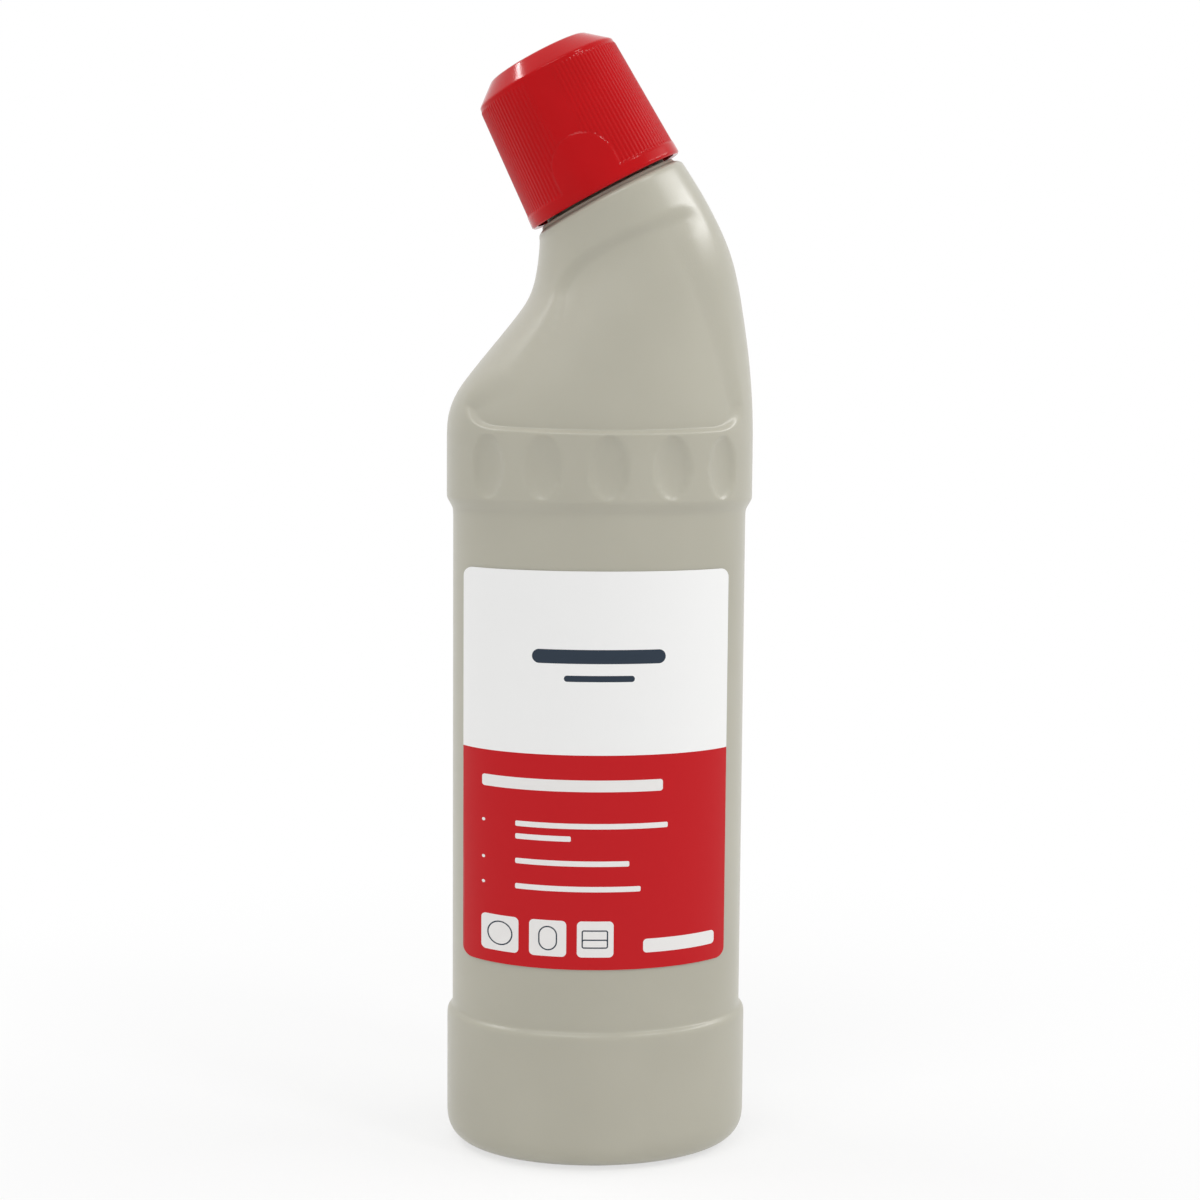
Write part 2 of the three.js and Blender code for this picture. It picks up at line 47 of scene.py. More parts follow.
label_low, label_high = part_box("front_label")

# Sizes in metres. Most repeat the CAD model's; those of the dimples, the platform's edge, the pads and the
# ribs differ from it by a few tenths of a millimetre.
BAND_HALF_WIDTH = bottle_high.x
BAND_HALF_DEPTH = bottle_high.y
BAND_RISE = 0.3 * MM
LABEL_RECESS = 1.4 * MM
BASE_CORNER = 7 * MM
BASE_FLAT = 1.2 * MM
FOOT_TOP = 34 * MM
FOOT_STEP = 5 * MM
BAND_BOTTOM = 173.5 * MM
BAND_STEP = 4 * MM
BAND_TOP = 190.5 * MM
FOOT_HALF_WIDTH = BAND_HALF_WIDTH - BAND_RISE
FOOT_HALF_DEPTH = BAND_HALF_DEPTH - BAND_RISE

DIMPLES_PER_FACE = 5
DIMPLE_STEP = math.radians(24.1)
DIMPLE_HALF_WIDTH = 4.9 * MM
DIMPLE_HALF_HEIGHT = 8.2 * MM
DIMPLE_DEPTH = 1.5 * MM
DIMPLE_ROUNDNESS = 0.62
PANEL_DEPTH = 1.3 * MM
PANEL_MARGIN = 1 * MM
PUSH_UP_DEPTH = 3 * MM
PUSH_UP_EASE = (0.02, 0.35)
BASE_LEVEL = 0.5 * MM

NECK_TILT = math.radians(28)
NECK_FOOT = Vector((2.45 * MM, 0, 250.6 * MM))
NECK_FRAME = Matrix.Translation(NECK_FOOT) @ Matrix.Rotation(-NECK_TILT, 4, "Y")
NECK_RADIUS = 13.6 * MM
PLATFORM_RADIUS = 21.2 * MM
PLATFORM_CORNER = 1.6 * MM
PLATFORM_RISE = 1.5 * MM
COLLAR_HEIGHT = 2.6 * MM

THREAD_LEAD = 4.2 * MM
THREAD_TURNS = 1.4
THREAD_HEIGHT = 1.2 * MM
THREAD_FOOT = 1.8 * MM
THREAD_CREST = 0.9 * MM
THREAD_START = 12 * MM
THREAD_SUNK = 0.3 * MM
THREAD_ROOM = 0.45 * MM
THREAD_STEPS = 140
THREAD_TAPER_SHARE = 1 / 12
TOOTH_BEVEL = 0.4 * MM

CAP_LIFT = 3.3 * MM
CAP_FRAME = NECK_FRAME @ Matrix.Translation((0, 0, CAP_LIFT))
CAP_RIM_RADIUS = 21.2 * MM
CAP_RIM_ROUND = 0.3 * MM
CAP_LENGTH = 38.2 * MM
CAP_TAPER = math.radians(3.2)
CHAMFER_HEIGHT = 4.6 * MM
CHAMFER_BASE = CAP_LENGTH - CHAMFER_HEIGHT
CAP_TOP_RADIUS = 13.4 * MM
CAP_WALL = 1.3 * MM
CAP_TOP_WALL = 1.5 * MM
CAP_CEILING = CAP_LENGTH - CAP_TOP_WALL
CAP_BAND_HEIGHT = 3.3 * MM
CAP_BAND_PROUD = 0.35 * MM
PAD_RADIUS = 8.4 * MM
PAD_HEIGHT = 15.3 * MM
PAD_TURN = math.radians(-12)
RAISED_EDGE = 0.25 * MM
RAISED_MARGIN = 1 * MM
SKIRT_SLACK = 0.5 * MM
RIB_COUNT = 108
RIB_PROUD = 0.2 * MM
RIB_EDGE = 0.2 * MM
RIB_FADE = 0.3 * MM
RIB_CLEAR = 1.2 * MM
PLAIN_STRIP = 7 * MM

SLEEVE_WALL = 1.2 * MM
SLEEVE_LOW = 8 * MM
SLEEVE_HIGH = CAP_LENGTH - 3.4 * MM
HOLDER_OUTER = 7.8 * MM
HOLDER_INNER = 6.8 * MM
HOLDER_HEIGHT = 2.6 * MM
HOLDER_SUNK = 0.4 * MM
TUBE_EDGE = 0.25 * MM
TUBE_SIDES = 96

LABEL_PROUD = 0.12 * MM
LABEL_FILM = 0.1 * MM
LABEL_CORNER = 2.4 * MM
LABEL_MARGIN = 4 * MM
LABEL_SIDES = 256
LABEL_FRONT_SHARE = 0.3

BODY_SIDES = 64
SMOOTHING = 2
LEAST_TILT = 1e-6
LEAST_WEIGHT = 0.001


# Modelling helpers

def select_only(thing):
    bpy.ops.object.select_all(action="DESELECT")
    thing.select_set(True)
    bpy.context.view_layer.objects.active = thing


def finish_piece(thing, body, looks, smooth_angle):
    """Settles a piece's place into its mesh, smooths it and ties it to its body, slot and material."""
    select_only(thing)
    bpy.ops.object.transform_apply(location=True, rotation=True, scale=True)
    bpy.ops.object.shade_smooth_by_angle(angle=math.radians(smooth_angle))
    thing.data.materials.clear()
    thing.data.materials.append(looks)
    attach(thing, body)


def apply_modifiers(thing):
    select_only(thing)
    for modifier in list(thing.modifiers):
        bpy.ops.object.modifier_apply(modifier=modifier.name)


def start_loop(name, sides, across, along, place):
    """A circle at its size and place, left open in edit mode with its loop selected."""
    bpy.ops.object.select_all(action="DESELECT")
    bpy.ops.mesh.primitive_circle_add(vertices=sides, radius=1, fill_type="NOTHING", location=place)
    thing = bpy.context.object
    thing.name = name
    bpy.ops.object.transform_apply(location=True, rotation=True, scale=True)
    bpy.ops.object.mode_set(mode="EDIT")
    bpy.ops.mesh.select_all(action="SELECT")
    bpy.ops.transform.resize(value=(across, along, 1), center_override=place)
    return thing


def select_edges(thing, wanted):
    """Selects, in edit mode, the edges that pass a test and nothing else."""
    bpy.ops.mesh.select_mode(type="EDGE")
    bpy.ops.mesh.select_all(action="DESELECT")
    form = bmesh.from_edit_mesh(thing.data)
    for edge in form.edges:
        if wanted(edge):
            edge.select_set(True)
    bmesh.update_edit_mesh(thing.data)


def select_rims(thing):
    """Selects, in edit mode, the open edges of a mesh."""
    select_edges(thing, lambda edge: edge.is_boundary)


def extrude_loop(step):
    bpy.ops.mesh.extrude_region_move(TRANSFORM_OT_translate={"value": step})


def resize_loop(grow_across, grow_along, centre):
    bpy.ops.transform.resize(value=(grow_across, grow_along, 1), center_override=centre)


def close_loop():
    """Closes the selected loop with a fan of faces to its middle."""
    extrude_loop((0, 0, 0))
    bpy.ops.mesh.merge(type="CENTER")


def leave_solid(inside=False):
    """Turns all faces outwards, or inwards for a hollow, and leaves edit mode."""
    bpy.ops.mesh.select_all(action="SELECT")
    bpy.ops.mesh.normals_make_consistent(inside=inside)
    bpy.ops.object.mode_set(mode="OBJECT")


def extrude_rings(name, sides, rings):
    """Extrudes level loops, given as (height, half width, half depth), from the first to the last."""
    height, across, along = rings[0]
    thing = start_loop(name, sides, across, along, Vector((0, 0, height)))
    for next_height, next_across, next_along in rings[1:]:
        extrude_loop(Vector((0, 0, next_height - height)))
        resize_loop(next_across / across, next_along / along, Vector((0, 0, next_height)))
        height, across, along = next_height, next_across, next_along
    return thing


def turned_rings(name, sides, profile):
    """Extrudes round loops, given as (radius, height)."""
    return extrude_rings(name, sides, [(height, radius, radius) for radius, height in profile])


def join_into(thing, others):
    bpy.ops.object.select_all(action="DESELECT")
    for other in others:
        other.select_set(True)
    thing.select_set(True)
    bpy.context.view_layer.objects.active = thing
    bpy.ops.object.join()


def smoothstep(value, low=0.0, high=1.0):
    share = min(max((value - low) / (high - low), 0.0), 1.0)
    return share * share * (3 - 2 * share)


def lerp(first, last, share):
    return first + (last - first) * share


# The bottle's outline

def curve_through(points, steps=24):
    """Many points along the smooth curve through a few, for even steps along its length."""
    ends = [points[0], *points, points[-1]]
    dense = []
    for i in range(len(points) - 1):
        a, b, c, d = ends[i:i + 4]
        for k in range(steps):
            t = k / steps
            dense.append(0.5 * (2 * b + (c - a) * t + (2 * a - 5 * b + 4 * c - d) * t ** 2
                                + (3 * b - a - 3 * c + d) * t ** 3))
    return dense + [points[-1]]


def along_curve(dense, share):
    """The point at a share of the way along a curve's length."""
    lengths = [(q - p).length for p, q in zip(dense, dense[1:])]
    left = share * sum(lengths)
    for p, q, length in zip(dense, dense[1:], lengths):
        if left <= length:
            return p.lerp(q, left / length)
        left -= length
    return dense[-1]


def front_point(x, z):
    return Vector((x, 0, z))


NECK_ACROSS = front_point(math.cos(NECK_TILT), math.sin(NECK_TILT))
NECK_UP = front_point(-math.sin(NECK_TILT), math.cos(NECK_TILT))


def shoulder_side(side, shares):
    """The left (-1) or right (1) side of the shoulder, from the band up, through shares of the way."""
    low = front_point(side * BAND_HALF_WIDTH, BAND_TOP)
    high = NECK_FOOT + NECK_ACROSS * (side * PLATFORM_RADIUS)
    between = [front_point(lerp(low.x, high.x, across), lerp(low.z, high.z, up)) for across, up in shares]
    return curve_through([low, *between, high])


SHOULDER_LEFT = shoulder_side(-1, [(0.03, 0.11), (0.17, 0.25), (0.765, 0.61), (0.92, 0.735), (0.985, 0.89)])
SHOULDER_RIGHT = shoulder_side(1, [(0.025, 0.157), (0.114, 0.371), (0.307, 0.643), (0.638, 0.843)])
SHOULDER_EASE = 0.55

# Where the body's loops lie. Turns round a corner are in degrees, heights in millimetres, and a step in the
# wall has (share of its height, share of its depth). The shoulder's are shares of the way up, and close
# together over the panel's lower edge. The neck's are (radius, distance along the neck) in millimetres.
BASE_TURNS = (22, 45, 68, 90)
BASE_SHRINKS = (0.9, 0.85, 0.78, 0.66, 0.45)
FOOT_HEIGHTS = (9, 14, 24, 31)
FOOT_STEP_LOOPS = (
    (0.1, 0), (0.28, 0.04), (0.4, 0.18), (0.48, 0.4), (0.54, 0.65), (0.6, 0.86), (0.7, 0.97), (0.86, 1),
)
LABEL_HEIGHTS = (41, 48, 70, 105, 140, 160, 166)
BAND_STEP_LOOPS = ((0, 1), (0.25, 0.92), (0.5, 0.55), (0.8, 0.02))
BAND_HEIGHTS = (173.5, 174.4, 176, 178, 180, 182, 184, 186, 188, 189.6)
PANEL_EDGE_SHARES = (0.0, 0.012, 0.024, 0.036, 0.05, 0.064, 0.08, 0.1, 0.125)
WIDE_STEPS, WIDE_END, LAST_SHARE = 15, 0.98, 0.962
SHOULDER_SHARES = (
    *PANEL_EDGE_SHARES,
    *(lerp(PANEL_EDGE_SHARES[-1], WIDE_END, i / WIDE_STEPS) for i in range(1, WIDE_STEPS)),
    LAST_SHARE,
)
PLATFORM_TURNS = (0, 22, 45, 68)
COLLAR_LOOPS = ((19.8, 1.55), (19.4, 1.75), (19.25, 2.1), (19.1, 2.45), (18.8, 2.58), (18.2, 2.6))
NECK_LOOPS = (
    (17, 2.6), (14.6, 2.6), (13.9, 2.9), (13.6, 3.6), (13.6, 8), (13.6, 14), (13.6, 20), (13.6, 22.8),
)
LIP_LOOPS = ((13.4, 23.6), (12.9, 24), (12, 24), (11.3, 23.9), (11, 23.3))
BORE_LOOPS = ((11, 18), (11, 8), (11, 0))


class Ring:
    """An oval loop between a left and a right point of the front outline."""

    def __init__(self, left, right, half_depth):
        self.centre = (left + right) / 2
        span = right - left
        self.half_width = span.length / 2
        self.half_depth = half_depth
        self.tilt = math.atan2(span.z, span.x)


def level_ring(height, inset):
    half_width = FOOT_HALF_WIDTH - inset
    left, right = front_point(-half_width, height), front_point(half_width, height)
    return Ring(left, right, FOOT_HALF_DEPTH - inset)


def shoulder_ring(share):
    left, right = along_curve(SHOULDER_LEFT, share), along_curve(SHOULDER_RIGHT, share)
    eased = lerp(share, smoothstep(share), SHOULDER_EASE)
    return Ring(left, right, lerp(BAND_HALF_DEPTH, PLATFORM_RADIUS, eased))


def neck_ring(radius, along):
    centre = NECK_FOOT + NECK_UP * along
    return Ring(centre - NECK_ACROSS * radius, centre + NECK_ACROSS * radius, radius)


def bottle_rings():
    """The oval loops of the blown body, from the base up to the lip and down into the bore."""
    rings = [level_ring(0, BASE_CORNER + BASE_FLAT), level_ring(0, BASE_CORNER)]
    for turn in map(math.radians, BASE_TURNS):
        rings.append(level_ring(BASE_CORNER * (1 - math.cos(turn)), BASE_CORNER * (1 - math.sin(turn))))
    rings += [level_ring(height * MM, 0) for height in FOOT_HEIGHTS]
    for share, depth in FOOT_STEP_LOOPS:
        rings.append(level_ring(FOOT_TOP + FOOT_STEP * share, LABEL_RECESS * depth))
    rings += [level_ring(height * MM, LABEL_RECESS) for height in LABEL_HEIGHTS]
    for share, depth in BAND_STEP_LOOPS:
        rings.append(level_ring(BAND_BOTTOM - BAND_STEP * (1 - share), LABEL_RECESS * depth))
    rings += [level_ring(height * MM, -BAND_RISE) for height in BAND_HEIGHTS]
    rings += [shoulder_ring(share) for share in SHOULDER_SHARES]
    for turn in map(math.radians, PLATFORM_TURNS):
        radius = PLATFORM_RADIUS - PLATFORM_CORNER * (1 - math.cos(turn))
        rings.append(neck_ring(radius, PLATFORM_RISE + PLATFORM_CORNER * (math.sin(turn) - 1)))
    for radius, along in (*COLLAR_LOOPS, *NECK_LOOPS, *LIP_LOOPS, *BORE_LOOPS):
        rings.append(neck_ring(radius * MM, along * MM))
    return rings


def loft(name, sides, rings):
    """Extrudes one loop from ring to ring: it is laid level, scaled, leaned and moved each time."""
    last = rings[0]
    thing = start_loop(name, sides, last.half_width, last.half_depth, last.centre)
    for ring in rings[1:]:
        extrude_loop(ring.centre - last.centre)
        lean(last.tilt, ring.centre)
        resize_loop(ring.half_width / last.half_width, ring.half_depth / last.half_depth, ring.centre)
        lean(-ring.tilt, ring.centre)
        last = ring
    return thing


def lean(angle, centre):
    """Turns the selection about Y; with no window the operator turns the other way."""
    if abs(angle) > LEAST_TILT:
        bpy.ops.transform.rotate(value=-angle, orient_axis="Y", center_override=centre)


# Relief, as weights that a Displace modifier follows

def weigh(thing, name, weight_of):
    """A vertex group whose weights come from a function of each point's place."""
    group = thing.vertex_groups.new(name=name)
    for vertex in thing.data.vertices:
        weight = weight_of(vertex.co)
        if weight > LEAST_WEIGHT:
            group.add([vertex.index], min(weight, 1.0), "REPLACE")


def press_in(thing, name, depth):
    modifier = thing.modifiers.new(name, "DISPLACE")
    modifier.vertex_group = name
    modifier.direction = "NORMAL"
    modifier.mid_level = 0
    modifier.strength = -depth


def quadratic(start, bend, end, steps=8):
    return [
        start * (1 - t) ** 2 + bend * 2 * t * (1 - t) + end * t ** 2
        for t in (i / steps for i in range(steps))
    ]


# The panel's outline as curves, each from the end of the one before: its bend and its end, as shares of the
# half width and of the shoulder's height, and the width in metres over which the edge eases in at that end.
PANEL_CURVES = (
    ((-0.885, 0.02), (-0.72, 0.01), 1.5 * MM),
    ((0, -0.018), (0.72, 0.01), 1.5 * MM),
    ((0.885, 0.02), (0.9, 0.12), 3.4 * MM),
    ((0.76, 0.64), (0.68, 0.86), 12 * MM),
    ((0.63, 1.0), (0.46, 0.97), 6 * MM),
    ((0.36, 0.95), (0.2, 0.88), 3 * MM),
    ((-0.27, 0.77), (-0.345, 0.6), 3.2 * MM),
    ((-0.39, 0.5), (-0.7, 0.29), 9 * MM),
    ((-0.86, 0.2), (-0.9, 0.12), 2.6 * MM),
)


def panel_outline():
    """The panel's outline, as points with the width over which its edge eases in there."""
    height = NECK_FOOT.z - BAND_TOP

    def at(across, up):
        return front_point(BAND_HALF_WIDTH * across, BAND_TOP + height * up)

    outline = []
    start, width = PANEL_CURVES[-1][1:]
    for bend, end, end_width in PANEL_CURVES:
        points = quadratic(at(*start), at(*bend), at(*end))
        outline += [(point, lerp(width, end_width, i / len(points))) for i, point in enumerate(points)]
        start, width = end, end_width
    return outline


def panel_weight(outline):
    """Full well inside the outline, and easing to nothing over the width of its nearest edge."""
    edges = list(zip(outline, outline[1:] + outline[:1]))

    def weight_of(point):
        if point.z < BAND_TOP - PANEL_MARGIN:
            return 0
        flat = front_point(point.x, point.z)
        inside = False
        weight = 1.0
        for (start, start_width), (end, end_width) in edges:
            if (start.z > flat.z) != (end.z > flat.z):
                crossing = start.x + (flat.z - start.z) * (end.x - start.x) / (end.z - start.z)
                inside ^= flat.x < crossing
            run = end - start
            share = min(max((flat - start).dot(run) / run.length_squared, 0), 1)
            distance = (flat - start - run * share).length
            weight = min(weight, smoothstep(distance / lerp(start_width, end_width, share)))
        return weight if inside else 0
    return weight_of


def dimple_weight(point):
    """Ball-shaped hollows at even turns round the band, on the front and on the back."""
    middle = (BAND_TOP + BAND_BOTTOM) / 2
    rise = (point.z - middle) / DIMPLE_HALF_HEIGHT
    if abs(rise) >= 1:
        return 0
    turn = math.atan2(point.x / BAND_HALF_WIDTH, abs(point.y) / BAND_HALF_DEPTH)
    number = round(turn / DIMPLE_STEP)
    if abs(number) > (DIMPLES_PER_FACE - 1) // 2:
        return 0
    speed = math.hypot(BAND_HALF_WIDTH * math.cos(turn), BAND_HALF_DEPTH * math.sin(turn))
    across = (turn - number * DIMPLE_STEP) * speed / DIMPLE_HALF_WIDTH
    return max(0.0, 1 - across ** 2 - rise ** 2) ** DIMPLE_ROUNDNESS


def push_up_weight(point):
    """The middle of the base, which is pushed up so that the bottle stands on its rim."""
    if point.z > BASE_LEVEL:
        return 0
    across = point.x / (FOOT_HALF_WIDTH - BASE_CORNER)
    along = point.y / (FOOT_HALF_DEPTH - BASE_CORNER)
    return smoothstep(1 - math.hypot(across, along), *PUSH_UP_EASE)


# Threads and teeth, which the bottle and the cap share

def helical_ridge(name, root_radius, height, start):
    """A tapering screw thread about Z: a section is spun up the lead by the Screw modifier."""
    mesh = bpy.data.meshes.new(name)
    thing = bpy.data.objects.new(name, mesh)
    bpy.context.collection.objects.link(thing)
    root = root_radius - math.copysign(THREAD_SUNK, height)
    crest = root_radius + height
    form = bmesh.new()
    corners = [
        (root, -THREAD_FOOT / 2), (crest, -THREAD_CREST / 2),
        (crest, THREAD_CREST / 2), (root, THREAD_FOOT / 2),
    ]
    section = [form.verts.new((radius, 0, along)) for radius, along in corners]
    for first, second in zip(section, section[1:] + section[:1]):
        form.edges.new((first, second))
    form.to_mesh(mesh)
    form.free()
    rise = THREAD_TURNS * THREAD_LEAD
    screw = thing.modifiers.new("lead", "SCREW")
    screw.axis = "Z"
    screw.angle = THREAD_TURNS * 2 * math.pi
    screw.screw_offset = rise
    screw.steps = screw.render_steps = THREAD_STEPS
    screw.use_smooth_shade = False
    apply_modifiers(thing)
    for vertex in mesh.vertices:
        run = min(vertex.co.z, rise - vertex.co.z) + THREAD_FOOT / 2
        full = smoothstep(run, 0, rise * THREAD_TAPER_SHARE)
        radius = math.hypot(vertex.co.x, vertex.co.y)
        reach = lerp(root, radius, full)
        vertex.co.x *= reach / radius
        vertex.co.y *= reach / radius
        vertex.co.z += start
    bpy.ops.object.mode_set(mode="EDIT")
    bpy.ops.mesh.select_all(action="SELECT")
    bpy.ops.mesh.fill_holes(sides=len(corners))
    leave_solid()
    return thing


def locking_teeth(name, radius, reach, width, height, base, first_turn=0.0):
    """Two small blocks with eased edges that stand opposite each other on the side of a round wall."""
    teeth = []
    for turn in (first_turn, first_turn + math.pi):
        place = Matrix.Rotation(turn, 4, "Z") @ Vector((radius + reach / 2, 0, base + height / 2))
        size = (reach, width, height)
        bpy.ops.object.select_all(action="DESELECT")
        bpy.ops.mesh.primitive_cube_add(size=1, location=place, rotation=(0, 0, turn), scale=size)
        tooth = bpy.context.object
        tooth.name = name
        bpy.ops.object.transform_apply(location=True, rotation=True, scale=True)
        bpy.ops.object.mode_set(mode="EDIT")
        bpy.ops.mesh.bevel(offset=TOOTH_BEVEL, segments=3, affect="EDGES")
        bpy.ops.object.mode_set(mode="OBJECT")
        teeth.append(tooth)
    return teeth


# Bottle

def close_base(shell):
    """Closes the lowest loop with inset loops of quads and a small cap, which lets the base be pushed up."""
    select_only(shell)
    bpy.ops.object.mode_set(mode="EDIT")
    select_rims(shell)
    for shrink in BASE_SHRINKS:
        extrude_loop((0, 0, 0))
        resize_loop(shrink, shrink, (0, 0, 0))
    close_loop()
    leave_solid()


def bottle_shell(looks):
    shell = loft("bottle_shell", BODY_SIDES, bottle_rings())
    close_loop()
    bpy.ops.object.mode_set(mode="OBJECT")
    close_base(shell)
    smoothing = shell.modifiers.new("smoothing", "SUBSURF")
    smoothing.levels = smoothing.render_levels = SMOOTHING
    apply_modifiers(shell)
    reliefs = (
        ("shoulder_panel", panel_weight(panel_outline()), PANEL_DEPTH),
        ("grip_dimples", dimple_weight, DIMPLE_DEPTH),
        ("push_up", push_up_weight, PUSH_UP_DEPTH),
    )
    for name, weight_of, depth in reliefs:
        weigh(shell, name, weight_of)
        press_in(shell, name, depth)
    apply_modifiers(shell)
    shell.vertex_groups.clear()
    thread = helical_ridge("neck_thread", NECK_RADIUS, THREAD_HEIGHT, THREAD_START)
    teeth = locking_teeth(
        "neck_tooth", radius=NECK_RADIUS - 0.5 * MM, reach=3.9 * MM, width=3 * MM, height=3 * MM,
        base=COLLAR_HEIGHT - 0.2 * MM,
    )
    for part in (thread, *teeth):
        part.data.transform(NECK_FRAME)
    join_into(shell, [thread, *teeth])
    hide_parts("bottle")
    finish_piece(shell, "bottle", looks, smooth_angle=50)


# Cap

# Loops near the cap's edges, in millimetres: how far below the chamfer they lie, how far (in, up) from its
# lower edge, and how far (out, down) from the edge of the top
RIB_END_LOOPS = (2.4, 2.0, 1.6, 1.3, 1.0, 0.7, 0.45)
CHAMFER_LOOPS = ((0.06, -0.15), (0.3, 0.12), (0.62, 0.4))
TOP_LOOPS = ((0.75, 0.5), (0.4, 0.24), (0, 0.07), (-0.5, 0))
TOP_SHARES = (0.6, 0.2)
FIRST_LOOPS = (0.25 * MM, 0.5 * MM)
FINE_LOOPS = 0.3 * MM
WIDE_LOOPS = 1.5 * MM
HOLLOW_HEIGHTS = (0, 0.6 * MM)
HOLLOW_MIDDLE = 10 * MM
HOLLOW_CORNER_DROP = 1 * MM
HOLLOW_CORNER_INSET = 0.5 * MM
HOLLOW_FAN_SHARE = 0.3


def skirt_radius(height):
    return CAP_RIM_RADIUS - height * math.tan(CAP_TAPER)


def pad_reach(point):
    """How far a point of the skirt is from the middle of a pad, which has a round top and straight sides."""
    return math.hypot(point.x, max(point.z - (PAD_HEIGHT - PAD_RADIUS), 0))


def rib_weight(point):
    """Fine ribs from the rim's band to just below the chamfer, beside the pads and the plain strips."""
    low, high = CAP_BAND_HEIGHT, CHAMFER_BASE - RIB_CLEAR
    if not low - RIB_FADE < point.z < high + RIB_FADE:
        return 0
    above_band = smoothstep(point.z, low - RIB_FADE, low)
    below_chamfer = 1 - smoothstep(point.z, high - 2 * RIB_EDGE, high + RIB_EDGE)
    beside_strip = smoothstep(abs(point.x), PLAIN_STRIP / 2 - RIB_EDGE / 2, PLAIN_STRIP / 2 + RIB_EDGE / 2)
    beside_pad = smoothstep(pad_reach(point), PAD_RADIUS - RIB_EDGE, PAD_RADIUS + RIB_EDGE)
    wave = 0.5 + 0.5 * math.cos(math.atan2(point.y, point.x) * RIB_COUNT)
    return min(above_band, below_chamfer) * beside_strip * beside_pad * wave


def raised_weight(point):
    """The band round the rim and the round-topped pads on the front and the back."""
    radius = math.hypot(point.x, point.y)
    if point.z > PAD_HEIGHT + RAISED_MARGIN or radius < skirt_radius(point.z) - SKIRT_SLACK:
        return 0
    band = 1 - smoothstep(point.z, CAP_BAND_HEIGHT - RAISED_EDGE, CAP_BAND_HEIGHT)
    pad = 1 - smoothstep(pad_reach(point), PAD_RADIUS - RAISED_EDGE, PAD_RADIUS)
    return max(band, pad)


def turned_skin(name, profile, inside):
    """A round skin from the rim up and in, closed where its last loop meets in the middle."""
    skin = turned_rings(name, 4 * RIB_COUNT, profile)
    bpy.ops.mesh.merge(type="CENTER")
    leave_solid(inside)
    return skin


def cap_outside():
    """The skirt, the chamfer and the top, on close loops that carry the ribs and the pads."""
    first, height = FIRST_LOOPS
    profile = [(skirt_radius(0) - CAP_RIM_ROUND, 0), (skirt_radius(0), first)]
    while height < CHAMFER_BASE - 2 * WIDE_LOOPS:
        profile.append((skirt_radius(height), height))
        height += FINE_LOOPS if height < PAD_HEIGHT + 2 * FINE_LOOPS else WIDE_LOOPS
    for down in RIB_END_LOOPS:
        profile.append((skirt_radius(CHAMFER_BASE - down * MM), CHAMFER_BASE - down * MM))
    edge = skirt_radius(CHAMFER_BASE)
    profile += [(edge - inwards * MM, CHAMFER_BASE + up * MM) for inwards, up in CHAMFER_LOOPS]
    profile += [(CAP_TOP_RADIUS + out * MM, CAP_LENGTH - down * MM) for out, down in TOP_LOOPS]
    profile += [(CAP_TOP_RADIUS * share, CAP_LENGTH) for share in TOP_SHARES]
    return turned_skin("cap_shell", profile, inside=False)


def cap_inside():
    """The hollow under the skirt, drawn as one loop pulled up the wall and in over the ceiling."""
    profile = [(skirt_radius(0) - CAP_WALL, height) for height in HOLLOW_HEIGHTS]
    profile += [
        (skirt_radius(HOLLOW_MIDDLE) - CAP_WALL, HOLLOW_MIDDLE),
        (skirt_radius(CHAMFER_BASE) - CAP_WALL, CHAMFER_BASE - HOLLOW_CORNER_DROP),
        (CAP_TOP_RADIUS - HOLLOW_CORNER_INSET, CAP_CEILING),
        (CAP_TOP_RADIUS * HOLLOW_FAN_SHARE, CAP_CEILING),
    ]
    return turned_skin("cap_hollow", profile, inside=True)


def tube(name, outer, inner, low, high):
    """A round wall that hangs from the ceiling, with eased edges at its foot."""
    wall = turned_rings(name, TUBE_SIDES, [
        (inner, high), (inner, low + TUBE_EDGE), (inner + TUBE_EDGE, low), (outer - TUBE_EDGE, low),
        (outer, low + TUBE_EDGE), (outer, high),
    ])
    select_rims(wall)
    bpy.ops.mesh.bridge_edge_loops()
    leave_solid()
    return wall


def close_rim(shell):
    """Joins the outer and the inner loop at the rim with a strip of faces."""
    select_only(shell)
    bpy.ops.object.mode_set(mode="EDIT")
    select_rims(shell)
    bpy.ops.mesh.bridge_edge_loops()
    bpy.ops.object.mode_set(mode="OBJECT")


def cap_shell(looks):
    shell = cap_outside()
    for name, weight_of in (("raised", raised_weight), ("ribs", rib_weight)):
        weigh(shell, name, weight_of)
    press_in(shell, "ribs", -RIB_PROUD)
    press_in(shell, "raised", -CAP_BAND_PROUD)
    apply_modifiers(shell)
    shell.vertex_groups.clear()
    shell.data.transform(Matrix.Rotation(PAD_TURN, 4, "Z"))
    join_into(shell, [cap_inside()])
    close_rim(shell)
    sleeve_inner = NECK_RADIUS + THREAD_HEIGHT + THREAD_ROOM
    holder_top = CAP_CEILING + HOLDER_SUNK
    thread_start = THREAD_START - CAP_LIFT + THREAD_LEAD / 2
    join_into(shell, [
        tube("cap_sleeve", sleeve_inner + SLEEVE_WALL, sleeve_inner, SLEEVE_LOW, SLEEVE_HIGH),
        tube("disc_holder", HOLDER_OUTER, HOLDER_INNER, holder_top - HOLDER_HEIGHT, holder_top),
        helical_ridge("cap_thread", sleeve_inner, -THREAD_HEIGHT, thread_start),
        *locking_teeth(
            "cap_lug", radius=17.5 * MM, reach=3 * MM, width=3 * MM, height=5 * MM, base=0.4 * MM,
            first_turn=math.radians(25),
        ),
    ])
    shell.data.transform(CAP_FRAME)
    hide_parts("cap")
    finish_piece(shell, "cap", looks, smooth_angle=50)


# Label

